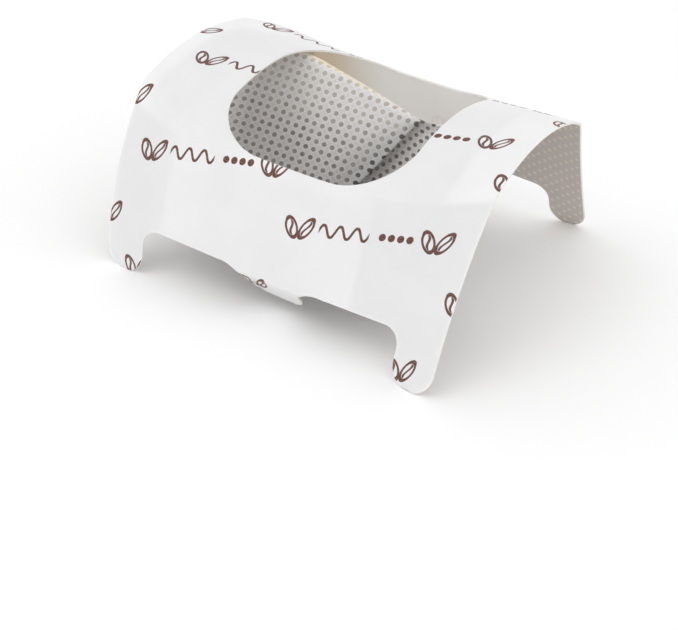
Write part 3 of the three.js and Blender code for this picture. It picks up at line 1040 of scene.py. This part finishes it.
class Signal:
    """A value in a node tree, which arithmetic turns into math nodes."""

    def __init__(self, graph: "Graph", source: "bpy.types.NodeSocket | float") -> None:
        """Wraps a socket or a number for use in graph."""
        self.graph = graph
        self.source = source

    def _with(self, operation: str, *others: "Signal | float") -> "Signal":
        """The result of a math node on this value and the others."""
        return self.graph.math(operation, self, *others)

    def __add__(self, other: "Signal | float") -> "Signal":
        """The sum."""
        return self._with("ADD", other)

    def __sub__(self, other: "Signal | float") -> "Signal":
        """The difference."""
        return self._with("SUBTRACT", other)

    def __mul__(self, other: "Signal | float") -> "Signal":
        """The product."""
        return self._with("MULTIPLY", other)

    def __truediv__(self, other: "Signal | float") -> "Signal":
        """The quotient."""
        return self._with("DIVIDE", other)

    def __pow__(self, other: float) -> "Signal":
        """The power."""
        return self._with("POWER", other)

    def fraction(self) -> "Signal":
        """The part after the decimal point."""
        return self._with("FRACT")

    def floor(self) -> "Signal":
        """The whole number below."""
        return self._with("FLOOR")

    def absolute(self) -> "Signal":
        """The value without its sign."""
        return self._with("ABSOLUTE")

    def sine(self) -> "Signal":
        """The sine, of radians."""
        return self._with("SINE")

    def cosine(self) -> "Signal":
        """The cosine, of radians."""
        return self._with("COSINE")

    def root(self) -> "Signal":
        """The square root."""
        return self._with("SQRT")

    def most(self, other: "Signal | float") -> "Signal":
        """The larger value."""
        return self._with("MAXIMUM", other)

    def least(self, other: "Signal | float") -> "Signal":
        """The smaller value."""
        return self._with("MINIMUM", other)

    def rise(self, low: "Signal | float", high: "Signal | float") -> "Signal":
        """A smooth rise from 0 at low to 1 at high."""
        return self.graph.map_range(self, low, high)

    def fall(self, low: "Signal | float", high: "Signal | float") -> "Signal":
        """A smooth fall from 1 at low to 0 at high."""
        return self.rise(low, high) * -1.0 + 1.0

    def inside(self, low: float, high: float) -> "Signal":
        """1 between low and high, else 0."""
        return self._with("GREATER_THAN", low) * self._with("LESS_THAN", high)


class Graph:
    """Adds nodes to one tree and joins them."""

    def __init__(self, tree: bpy.types.NodeTree) -> None:
        """Works on tree."""
        self.tree = tree

    def node(self, kind: str, **settings: object) -> bpy.types.Node:
        """A new node.

        Args:
            kind: The node's type.
            **settings: Its own settings, by name.

        Returns:
            The node.
        """
        made = self.tree.nodes.new(kind)
        for name, value in settings.items():
            setattr(made, name, value)
        return made

    def join(self, source: object, socket: bpy.types.NodeSocket) -> None:
        """Feeds something into a socket.

        Args:
            source: A signal, a socket or a constant.
            socket: The socket that takes it.
        """
        if isinstance(source, Signal):
            source = source.source
        if isinstance(source, bpy.types.NodeSocket):
            self.tree.links.new(source, socket)
        else:
            socket.default_value = source

    def signal(self, source: "bpy.types.NodeSocket | float") -> Signal:
        """Wraps a socket or number."""
        return Signal(self, source)

    def math(self, operation: str, *values: "Signal | float") -> Signal:
        """Adds a math node.

        Args:
            operation: What it works out.
            *values: What it works on.

        Returns:
            The result.
        """
        made = self.node("ShaderNodeMath", operation=operation)
        for value, socket in zip(values, made.inputs):
            self.join(value, socket)
        return Signal(self, made.outputs[0])

    def map_range(self, value: Signal, low: "Signal | float", high: "Signal | float") -> Signal:
        """A smooth rise of a value from 0 to 1.

        Args:
            value: The value.
            low: Where the rise starts.
            high: Where it ends.

        Returns:
            The risen value.
        """
        made = self.node("ShaderNodeMapRange", interpolation_type="SMOOTHSTEP")
        self.join(value, made.inputs["Value"])
        self.join(low, made.inputs["From Min"])
        self.join(high, made.inputs["From Max"])
        return Signal(self, made.outputs["Result"])

    def split(self, vector: bpy.types.NodeSocket) -> tuple[Signal, Signal, Signal]:
        """The three parts of a vector.

        Args:
            vector: The vector.

        Returns:
            Its x, y and z.
        """
        made = self.node("ShaderNodeSeparateXYZ")
        self.join(vector, made.inputs[0])
        return tuple(Signal(self, made.outputs[i]) for i in range(3))

    def vector(self, *parts: "Signal | float") -> bpy.types.NodeSocket:
        """A vector made of parts.

        Args:
            *parts: Its x, y and z.

        Returns:
            The vector.
        """
        made = self.node("ShaderNodeCombineXYZ")
        for part, socket in zip(parts, made.inputs):
            self.join(part, socket)
        return made.outputs[0]

    def noise(
        self, where: bpy.types.NodeSocket, scale: float, detail: float = 2.0, warp: float = 0.0
    ) -> Signal:
        """Soft noise.

        Args:
            where: The coordinates.
            scale: How fine it is.
            detail: How many finer layers it has.
            warp: How much it is distorted.

        Returns:
            The noise, about 0 to 1.
        """
        made = self.node("ShaderNodeTexNoise")
        self.join(where, made.inputs["Vector"])
        made.inputs["Scale"].default_value = scale
        made.inputs["Detail"].default_value = detail
        made.inputs["Distortion"].default_value = warp
        return Signal(self, made.outputs["Fac"])

    def mix(self, amount: "Signal | float", first: object, second: object) -> bpy.types.NodeSocket:
        """A colour between two colours.

        Args:
            amount: How much of the second colour, from 0 to 1.
            first: The first colour.
            second: The second colour.

        Returns:
            The mixed colour.
        """
        made = self.node("ShaderNodeMix", data_type="RGBA")
        self.join(amount, made.inputs["Factor"])
        self.join(first, made.inputs["A"])
        self.join(second, made.inputs["B"])
        return made.outputs["Result"]

    def bump(self, height: Signal, strength: float, depth: float) -> bpy.types.NodeSocket:
        """A normal bent by a height.

        Args:
            height: The height.
            strength: How strongly it shows, up to 1.
            depth: What a height of 1 stands for, in millimetres.

        Returns:
            The bent normal.
        """
        made = self.node("ShaderNodeBump")
        made.inputs["Strength"].default_value = strength
        made.inputs["Distance"].default_value = depth * MM
        self.join(height, made.inputs["Height"])
        return made.outputs["Normal"]


class Group:
    """A shader node group with named inputs and outputs."""

    def __init__(self, name: str, inputs: dict[str, object], outputs: tuple[str, ...]) -> None:
        """Makes the group's tree and sockets.

        Args:
            name: The group's name.
            inputs: Each input's default, None for a vector.
            outputs: The outputs, which are values.
        """
        self.tree = bpy.data.node_groups.new(name, "ShaderNodeTree")
        self.graph = Graph(self.tree)
        for label, default in inputs.items():
            kind = "NodeSocketVector" if default is None else "NodeSocketFloat"
            socket = self.tree.interface.new_socket(label, in_out="INPUT", socket_type=kind)
            if default is not None:
                socket.default_value = default
        for label in outputs:
            self.tree.interface.new_socket(
                label, in_out="OUTPUT", socket_type="NodeSocketFloat"
            )
        self.entry = self.tree.nodes.new("NodeGroupInput")
        self.exit = self.tree.nodes.new("NodeGroupOutput")

    def read(self, label: str) -> Signal:
        """The signal that comes in at an input."""
        return Signal(self.graph, self.entry.outputs[label])

    def write(self, label: str, value: object) -> None:
        """Sends a value out at an output."""
        self.graph.join(value, self.exit.inputs[label])

    def place(self, graph: Graph, **values: object) -> bpy.types.Node:
        """Puts the group into a material.

        Args:
            graph: The material's graph.
            **values: What feeds its inputs.

        Returns:
            The group's node.
        """
        made = graph.node("ShaderNodeGroup", node_tree=self.tree)
        for label, value in values.items():
            graph.join(value, made.inputs[label])
        return made


@dataclass(frozen=True)
class PrintRows:
    """Rows of small beans, waves and drops that run up across the flat card, in millimetres."""

    start_u: float = -40.0
    start_v: float = -37.5
    step_u: float = 41.0
    drop_v: float = -4.5
    row_v: float = 27.7
    slope: float = 0.2
    middle_v: float = 1.2
    stroke: float = 0.3  # half its width
    bean_half_width: float = 1.35
    bean_half_height: float = 2.1
    bean_pitch: float = 3.7
    bean_lean: float = 0.42
    wave_length: float = 4.0
    wave_height: float = 1.25
    dot_step: float = 2.1
    dot_radius: float = 0.8
    bean_starts: tuple[float, ...] = (0.4, 32.6)
    bean_outline: float = 1.5  # millimetres for one unit of the outline's own measure
    bean_line_turn: float = 1.5
    bean_line_swing: float = 0.42
    bean_line_reach: float = 0.75
    wave_start: float = 9.0
    wave_count: int = 3
    dot_start: float = 23.0
    dot_count: int = 4
    far: float = 9.0  # moves a stretch's strokes out of reach beyond its ends

    def cell(self, graph: Graph, where: Signal) -> tuple[Signal, Signal]:
        """The place along and across the row that a point is nearest to.

        Args:
            graph: The group's graph.
            where: The place on the flat sheet, as a vector in millimetres.

        Returns:
            The distances along the row from its start and up from its middle line.
        """
        u, v, _ = graph.split(where.source)
        from_start = u - self.start_u
        index = (from_start / self.step_u).floor()
        along = from_start - index * self.step_u
        height = v - self.start_v - index * self.drop_v - along * self.slope
        row = (height / self.row_v + 0.5 - self.middle_v / self.row_v).floor()
        up = height - row * self.row_v - self.middle_v
        stretch = math.hypot(1, self.slope)
        return along * stretch, up * (1 / stretch)

    def bean(self, graph: Graph, x: Signal, y: Signal, lean: Signal) -> Signal:
        """How far a point is from a coffee bean's outline or its wavy line.

        Args:
            graph: The group's graph, which is not used.
            x: The place across, from the bean's middle.
            y: The place up.
            lean: The bean's lean as a slope, to the left or the right.

        Returns:
            The distance to the nearest stroke.
        """
        leaned = x - y * lean
        ring = ((leaned / self.bean_half_width) ** 2 + (y / self.bean_half_height) ** 2).root()
        outline = (ring - 1).absolute() * self.bean_outline
        swing = (y * self.bean_line_turn).sine() * self.bean_line_swing
        beyond = (ring - self.bean_line_reach).most(0.0) * self.far
        return outline.least((leaned - swing).absolute() + beyond)

    def group(self) -> Group:
        """The node group: where the ink is, from 0 to 1.

        Returns:
            The group, whose Ink is 1 on a stroke.
        """
        made = Group("print_rows", {"Place": None, "Softness": 0.06}, ("Ink",))
        graph = made.graph
        along, up = self.cell(graph, made.read("Place"))
        # The row's stretches: two beans, a long wave, four dots and two more beans.
        strokes = []
        for start in self.bean_starts:
            inner = (along - start) / self.bean_pitch
            x = (inner.fraction() - 0.5) * self.bean_pitch
            lean = graph.math("SIGN", (inner * 0.5).fraction() - 0.5) * self.bean_lean
            here = along.inside(start, start + 2 * self.bean_pitch)
            strokes.append(self.bean(graph, x, up, lean) + (here - 1).absolute() * self.far)
        turn = (along - self.wave_start) * (2 * math.pi / self.wave_length)
        steep = turn.cosine() * (self.wave_height * 2 * math.pi / self.wave_length)
        wave = (up - turn.sine() * self.wave_height).absolute() / (steep * steep + 1).root()
        wave_end = self.wave_start + self.wave_count * self.wave_length
        here = along.inside(self.wave_start, wave_end)
        strokes.append(wave + (here - 1).absolute() * self.far)
        inner = (along - self.dot_start) / self.dot_step
        x = (inner.fraction() - 0.5) * self.dot_step
        here = along.inside(self.dot_start, self.dot_start + self.dot_count * self.dot_step)
        dot = (x * x + up * up).root() - self.dot_radius + self.stroke
        strokes.append(dot.most(0.0) + (here - 1).absolute() * self.far)
        nearest = strokes[0]
        for stroke in strokes[1:]:
            nearest = nearest.least(stroke)
        softness = made.read("Softness")
        ink = nearest.fall(softness * -1.0 + self.stroke, softness + self.stroke)
        made.write("Ink", ink)
        return made


@dataclass(frozen=True)
class DotLattice:
    """The cloth's square lattice of bonded dots, in millimetres."""

    pitch: float = 2.2
    radius: float = 0.62
    wander: float = 0.09
    raggedness: float = 0.32

    def group(self) -> Group:
        """The node group: the dots, the pale rings round them and the fibres between them.

        Returns:
            The group, with its lattice's size as inputs.
        """
        made = Group(
            "dot_lattice",
            {"Place": None, "Pitch": self.pitch, "Radius": self.radius},
            ("Dot", "Ring", "Fibre", "Chance"),
        )
        graph = made.graph
        place = made.read("Place")
        pitch, radius = made.read("Pitch"), made.read("Radius")
        u, v, _ = graph.split(place.source)
        column, line = (u / pitch).floor(), (v / pitch).floor()
        pick = graph.node("ShaderNodeTexWhiteNoise", noise_dimensions="2D")
        graph.join(graph.vector(column, line, 0.0), pick.inputs["Vector"])
        red, green, blue = graph.split(pick.outputs["Color"])
        x = ((u / pitch).fraction() - 0.5) * pitch + (red - 0.5) * self.wander
        y = ((v / pitch).fraction() - 0.5) * pitch + (green - 0.5) * self.wander
        ragged = (graph.noise(place.source, 3.2, 2.0) - 0.5) * self.raggedness
        away = (x * x + y * y).root() + ragged
        made.write("Dot", away.fall(radius * 0.8, radius * 1.2))
        ring = (away - radius * 1.45).absolute() / (radius * 0.5)
        made.write("Ring", ring.fall(0.0, 1.0))
        stretched = graph.vector(u * 0.35, v, 0.0)
        other = graph.vector(u + v * 0.4, v * 0.3 - u * 0.1, 3.0)
        fibres = graph.noise(stretched, 4.2, 4.0, 1.6) + graph.noise(other, 5.0, 4.0, 1.8)
        made.write("Fibre", fibres * 0.5)
        made.write("Chance", blue)
        return made


@dataclass(frozen=True)
class Mottle:
    """The faint unevenness of paper."""

    def group(self) -> Group:
        """The node group: a broad tone and a fine grain, each about 0 to 1.

        Returns:
            The group.
        """
        made = Group("paper_mottle", {"Place": None}, ("Tone", "Grain"))
        graph = made.graph
        place = made.read("Place").source
        made.write("Tone", graph.noise(place, 0.07, 3.0, 0.4))
        made.write("Grain", graph.noise(place, 2.6, 3.0))
        return made


@dataclass(frozen=True)
class Colour:
    """A colour by its 8-bit screen values."""

    red: float
    green: float
    blue: float

    def linear(self) -> tuple[float, float, float, float]:
        """The colour in linear light, as shaders take it."""
        parts = (c / 255 for c in (self.red, self.green, self.blue))
        return (*(c / 12.92 if c <= 0.04045 else ((c + 0.055) / 1.055) ** 2.4 for c in parts), 1.0)


@dataclass(frozen=True)
class Patterns:
    """The node groups that the finishes share."""

    rows: Group
    dots: Group
    mottle: Group

    @classmethod
    def build(cls) -> "Patterns":
        """Makes each group once."""
        return cls(PrintRows().group(), DotLattice().group(), Mottle().group())


@dataclass(frozen=True)
class Finish:
    """What every finish of the bag starts from."""

    name: str
    roughness: float
    glow: float = 0.0  # how much of its light passes through the thin sheet, up to 1
    shine: float = 0.35
    glow_depth: float = 1.2  # millimetres

    def start(self) -> tuple[bpy.types.Material, Graph, bpy.types.Node]:
        """Starts the material.

        Returns:
            The material, its graph and its Principled shader.
        """
        material = bpy.data.materials.new(self.name)
        material.use_nodes = True
        graph = Graph(material.node_tree)
        shader = material.node_tree.nodes["Principled BSDF"]
        shader.inputs["Roughness"].default_value = self.roughness
        shader.inputs["Specular IOR Level"].default_value = self.shine
        shader.inputs["Subsurface Weight"].default_value = self.glow
        shader.inputs["Subsurface Radius"].default_value = (1.0, 1.0, 1.0)
        shader.inputs["Subsurface Scale"].default_value = self.glow_depth * MM
        return material, graph, shader

    def flat_place(self, graph: Graph) -> bpy.types.NodeSocket:
        """The place on the flat sheet, in millimetres, read from its UV map.

        Args:
            graph: The material's graph.

        Returns:
            The place, as a vector.
        """
        uv = graph.node("ShaderNodeUVMap", uv_map="sheet")
        scaled = graph.node("ShaderNodeMapping")
        graph.join(uv.outputs["UV"], scaled.inputs["Vector"])
        scaled.inputs["Scale"].default_value = (UV_SPAN, UV_SPAN, UV_SPAN)
        scaled.inputs["Location"].default_value = (-UV_SPAN / 2, -UV_SPAN / 2, 0.0)
        return scaled.outputs["Vector"]


@dataclass(frozen=True)
class PrintedPaper(Finish):
    """The card's printed upper face."""

    name: str = "printed_paper"
    roughness: float = 0.62
    glow: float = 0.5
    paper: Colour = Colour(239, 239, 240)
    paper_low: Colour = Colour(235, 235, 236)
    ink: Colour = Colour(96, 48, 26)
    ink_cover: float = 0.78
    grain_height: float = 0.05  # millimetres

    def build(self, patterns: Patterns) -> bpy.types.Material:
        """Makes the material.

        Args:
            patterns: The shared node groups.

        Returns:
            The material.
        """
        material, graph, shader = self.start()
        place = self.flat_place(graph)
        mottle = patterns.mottle.place(graph, Place=place)
        ink = graph.signal(patterns.rows.place(graph, Place=place).outputs["Ink"])
        tone = graph.signal(mottle.outputs["Tone"])
        grain = graph.signal(mottle.outputs["Grain"])
        paper = graph.mix(tone.rise(0.3, 0.7), self.paper.linear(), self.paper_low.linear())
        solid = ink * (grain * 0.35 + self.ink_cover).least(1.0)
        graph.join(graph.mix(solid, paper, self.ink.linear()), shader.inputs["Base Color"])
        graph.join(ink * -0.12 + grain * 0.12 + 0.56, shader.inputs["Roughness"])
        graph.join(graph.bump(grain, 0.12, self.grain_height), shader.inputs["Normal"])
        return material


@dataclass(frozen=True)
class BarePaper(Finish):
    """The card's bare inner face, through which the print shows a little, with a painted warm
    shadow behind the pouch's cream edge.
    """

    name: str = "bare_paper"
    roughness: float = 0.7
    glow: float = 1.0
    paper: Colour = Colour(240, 236, 231)
    paper_low: Colour = Colour(222, 216, 208)
    # The warm colour and the warm limits below paint a warm shadow on the back flange.
    paper_in_warm_shadow: Colour = Colour(203, 186, 162)
    print_blur: float = 0.2
    print_strength: float = 0.45
    warm_shadow_across: tuple[float, float, float, float] = (-40.0, -32.0, -29.0, -9.0)
    warm_shadow_along: tuple[float, float, float, float] = (20.0, 29.0, 38.0, 50.0)
    warm_shadow_strength: float = 0.85
    grain_height: float = 0.06  # millimetres

    def build(self, patterns: Patterns) -> bpy.types.Material:
        """Makes the material.

        Args:
            patterns: The shared node groups.

        Returns:
            The material.
        """
        material, graph, shader = self.start()
        place = self.flat_place(graph)
        mottle = patterns.mottle.place(graph, Place=place)
        rows = patterns.rows.place(graph, Place=place, Softness=self.print_blur)
        tone = graph.signal(mottle.outputs["Tone"])
        grain = graph.signal(mottle.outputs["Grain"])
        amount = tone.rise(0.25, 0.75) * 0.4
        amount = amount + graph.signal(rows.outputs["Ink"]) * self.print_strength
        colour = graph.mix(amount, self.paper.linear(), self.paper_low.linear())
        # Painted warm shadow, only on the back flange behind the left end of the pouch's cream
        # edge.
        across, along, _ = graph.split(place)
        warm_shadow = self.between(across, self.warm_shadow_across) * self.between(along, self.warm_shadow_along)
        colour = graph.mix(warm_shadow * self.warm_shadow_strength, colour, self.paper_in_warm_shadow.linear())
        graph.join(colour, shader.inputs["Base Color"])
        graph.join(grain * 0.15 + 0.62, shader.inputs["Roughness"])
        graph.join(graph.bump(grain, 0.15, self.grain_height), shader.inputs["Normal"])
        return material

    def between(self, value: Signal, limits: tuple[float, float, float, float]) -> Signal:
        """1 between the inner two limits, 0 beyond the outer two and smooth in between."""
        return value.rise(limits[0], limits[1]) * value.fall(limits[2], limits[3])


@dataclass(frozen=True)
class CutPaper(Finish):
    """The card's cut edge."""

    name: str = "cut_paper"
    roughness: float = 0.8
    pale: Colour = Colour(236, 234, 230)
    deep: Colour = BarePaper.paper
    fibre_height: float = 0.05  # millimetres

    def build(self) -> bpy.types.Material:
        """Makes the material.

        Returns:
            The material.
        """
        material, graph, shader = self.start()
        fibres = graph.noise(self.flat_place(graph), 6.0, 3.0)
        colour = graph.mix(fibres * 0.5, self.pale.linear(), self.deep.linear())
        graph.join(colour, shader.inputs["Base Color"])
        graph.join(graph.bump(fibres, 0.3, self.fibre_height), shader.inputs["Normal"])
        return material


@dataclass(frozen=True)
class FilterCloth(Finish):
    """The pouch's dotted cloth, with its cream edge and its painted shade."""

    name: str = "filter_cloth"
    roughness: float = 0.85
    glow: float = 1.0
    shine: float = 0.2
    cloth_pale: Colour = Colour(232, 230, 229)
    # The two darker colours, for cloth and for dots, carry painted shade as well as the fibres' and
    # the dots' own random tone.
    cloth_fibre_and_shade: Colour = Colour(120, 116, 113)
    dot_pale: Colour = Colour(176, 169, 163)
    dot_variation_and_shade: Colour = Colour(58, 56, 55)
    cream: Colour = Colour(230, 208, 158)
    dot_cover: float = 0.9
    dot_chance: float = 0.3
    cream_depth: tuple[float, float] = (0.008, 0.034)
    cream_end: tuple[float, float] = (0.4, 0.62)
    cream_strength: float = 0.65
    weave_height: float = 0.1  # millimetres

    def build(self, patterns: Patterns) -> bpy.types.Material:
        """Makes the material.

        Args:
            patterns: The shared node groups.

        Returns:
            The material.
        """
        material, graph, shader = self.start()
        dots = patterns.dots.place(graph, Place=self.flat_place(graph))
        dot, ring, fibre, chance = (
            graph.signal(dots.outputs[name]) for name in ("Dot", "Ring", "Fibre", "Chance")
        )
        shade, dot_shade = (
            graph.signal(graph.node("ShaderNodeAttribute", attribute_name=name).outputs["Fac"])
            for name in ("shade", "dot_shade")
        )
        along, depth, _ = graph.split(graph.node("ShaderNodeUVMap", uv_map="edge").outputs["UV"])
        # Painted shade: the shade and dot tone attributes darken the cloth and its dots; fibres and
        # each dot's chance add their own random tone.
        cloth = graph.mix(
            (shade * 0.75 + fibre.rise(0.35, 0.7) * 0.25 - ring * 0.12).most(0.0).least(1.0),
            self.cloth_pale.linear(),
            self.cloth_fibre_and_shade.linear(),
        )
        varied_shaded_dots = graph.mix(
            (dot_shade + chance * self.dot_chance - self.dot_chance / 2).most(0.0).least(1.0),
            self.dot_pale.linear(),
            self.dot_variation_and_shade.linear(),
        )
        dotted = graph.mix(dot * self.dot_cover, cloth, varied_shaded_dots)
        band = depth.fall(*self.cream_depth) * along.fall(*self.cream_end)
        colour = graph.mix(band * self.cream_strength, dotted, self.cream.linear())
        graph.join(colour, shader.inputs["Base Color"])
        graph.join(dot * -0.3 + 0.9, shader.inputs["Roughness"])
        height = fibre * 0.5 - dot * 0.8
        graph.join(graph.bump(height, 0.35, self.weave_height), shader.inputs["Normal"])
        return material


@dataclass(frozen=True)
class LiningCloth(Finish):
    """The cloth glued inside the flanges, with faint pale ovals in slanting rows."""

    name: str = "lining_cloth"
    roughness: float = 0.85
    shine: float = 0.2
    cloth: Colour = Colour(199, 191, 185)
    oval: Colour = Colour(224, 216, 207)
    oval_cover: float = 0.7
    row_turn: float = 45.0
    row_pitch: float = 2.3
    oval_radius: float = 0.5
    weave_height: float = 0.1  # millimetres

    def build(self, patterns: Patterns) -> bpy.types.Material:
        """Makes the material.

        Args:
            patterns: The shared node groups.

        Returns:
            The material.
        """
        material, graph, shader = self.start()
        turned = graph.node("ShaderNodeMapping")
        graph.join(self.flat_place(graph), turned.inputs["Vector"])
        turned.inputs["Rotation"].default_value = (0.0, 0.0, math.radians(self.row_turn))
        dots = patterns.dots.place(
            graph, Place=turned.outputs["Vector"], Pitch=self.row_pitch, Radius=self.oval_radius
        )
        dot, fibre = (graph.signal(dots.outputs[name]) for name in ("Dot", "Fibre"))
        amount = (dot * self.oval_cover + fibre.rise(0.3, 0.8) * 0.25).least(1.0)
        colour = graph.mix(amount, self.cloth.linear(), self.oval.linear())
        graph.join(colour, shader.inputs["Base Color"])
        height = fibre * 0.5 + dot * 0.5
        graph.join(graph.bump(height, 0.35, self.weave_height), shader.inputs["Normal"])
        return material


@dataclass(frozen=True)
class Finishes:
    """The bag's materials."""

    printed: bpy.types.Material
    inner: bpy.types.Material
    edge: bpy.types.Material
    cloth: bpy.types.Material
    lining: bpy.types.Material

    @classmethod
    def build(cls) -> "Finishes":
        """Makes every material on the shared groups.

        Returns:
            The materials.
        """
        patterns = Patterns.build()
        return cls(
            printed=PrintedPaper().build(patterns),
            inner=BarePaper().build(patterns),
            edge=CutPaper().build(),
            cloth=FilterCloth().build(patterns),
            lining=LiningCloth().build(patterns),
        )


# ---- Studio


@dataclass(frozen=True)
class Lamp:
    """A soft square lamp that faces the bag."""

    name: str
    place: tuple[float, float, float]  # metres
    size: float
    power: float  # watts
    aim: tuple[float, float, float] = (0.0, 0.0, 0.02)

    def build(self) -> bpy.types.Object:
        """Makes the lamp.

        Returns:
            The lamp, in the scene.
        """
        data = bpy.data.lights.new(self.name, "AREA")
        data.size = self.size
        data.energy = self.power
        lamp = bpy.data.objects.new(self.name, data)
        lamp.location = self.place
        facing = Vector(self.aim) - Vector(self.place)
        lamp.rotation_euler = facing.to_track_quat("-Z", "Y").to_euler()
        bpy.context.collection.objects.link(lamp)
        return lamp


@dataclass
class Studio:
    """The floor, the lights and the camera."""

    floor_half: float = 3.0
    floor_colour: Colour = Colour(255, 255, 255)
    sky: float = 0.93
    key: Lamp = Lamp("key_lamp", (-0.25, -0.45, 0.75), 0.5, 0.9)
    fill: Lamp = Lamp("fill_lamp", (0.7, -0.3, 0.5), 0.7, 0.2)
    camera_place: tuple[float, float, float] = (0.186094, -0.298780, 0.203281)
    camera_right: tuple[float, float, float] = (0.831080, 0.555356, 0.029768)
    camera_up: tuple[float, float, float] = (-0.318321, 0.431107, 0.844286)
    lens: float = 90.81
    sensor: float = 36.0
    shift: tuple[float, float] = (0.01045, 0.00514)
    clip: tuple[float, float] = (0.01, 20.0)

    def floor(self) -> bpy.types.Object:
        """A plain pale floor.

        Returns:
            The floor, in the scene.
        """
        mesh = bmesh.new()
        bmesh.ops.create_grid(mesh, x_segments=1, y_segments=1, size=self.floor_half)
        material = bpy.data.materials.new("pale_floor")
        material.use_nodes = True
        shader = material.node_tree.nodes["Principled BSDF"]
        shader.inputs["Base Color"].default_value = self.floor_colour.linear()
        shader.inputs["Roughness"].default_value = 0.9
        shader.inputs["Specular IOR Level"].default_value = 0.1
        made = finished("studio_floor", mesh, [material])
        return made

    def world(self) -> None:
        """A pale, even surround."""
        world = bpy.data.worlds.new("studio_air")
        world.use_nodes = True
        background = world.node_tree.nodes["Background"]
        background.inputs["Color"].default_value = (1.0, 1.0, 1.0, 1.0)
        background.inputs["Strength"].default_value = self.sky
        bpy.context.scene.world = world

    def camera(self) -> bpy.types.Object:
        """The camera at the photograph's angle.

        Returns:
            The camera, in the scene.
        """
        data = bpy.data.cameras.new("camera")
        data.lens = self.lens
        data.sensor_width = self.sensor
        data.shift_x, data.shift_y = self.shift
        data.clip_start, data.clip_end = self.clip
        made = bpy.data.objects.new("camera", data)
        right, up = Vector(self.camera_right), Vector(self.camera_up)
        turn = Matrix((right, up, right.cross(up))).transposed()
        made.matrix_world = Matrix.Translation(self.camera_place) @ turn.to_4x4()
        bpy.context.collection.objects.link(made)
        bpy.context.scene.camera = made
        return made

    def build(self) -> None:
        """Sets up the whole studio."""
        bpy.context.scene.view_settings.view_transform = "Standard"
        self.world()
        self.floor()
        self.key.build()
        self.fill.build()
        self.camera()


def main() -> None:
    """Builds the bag, its finishes and the studio."""
    logging.basicConfig(level=logging.INFO, format="%(message)s")
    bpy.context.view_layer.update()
    finishes = Finishes.build()
    form = SheetForm()
    cut = CardCut(form)
    pieces = [PrintedCard(form, cut).build(finishes)]
    pieces += Linings(form, cut).build(finishes)
    pieces.append(FilterPouch(form).build(finishes))
    for piece in pieces:
        LOG.info("%s: %d faces", piece.name, len(piece.data.polygons))
    Studio().build()
    bpy.context.view_layer.update()


if __name__ == "__main__":
    main()
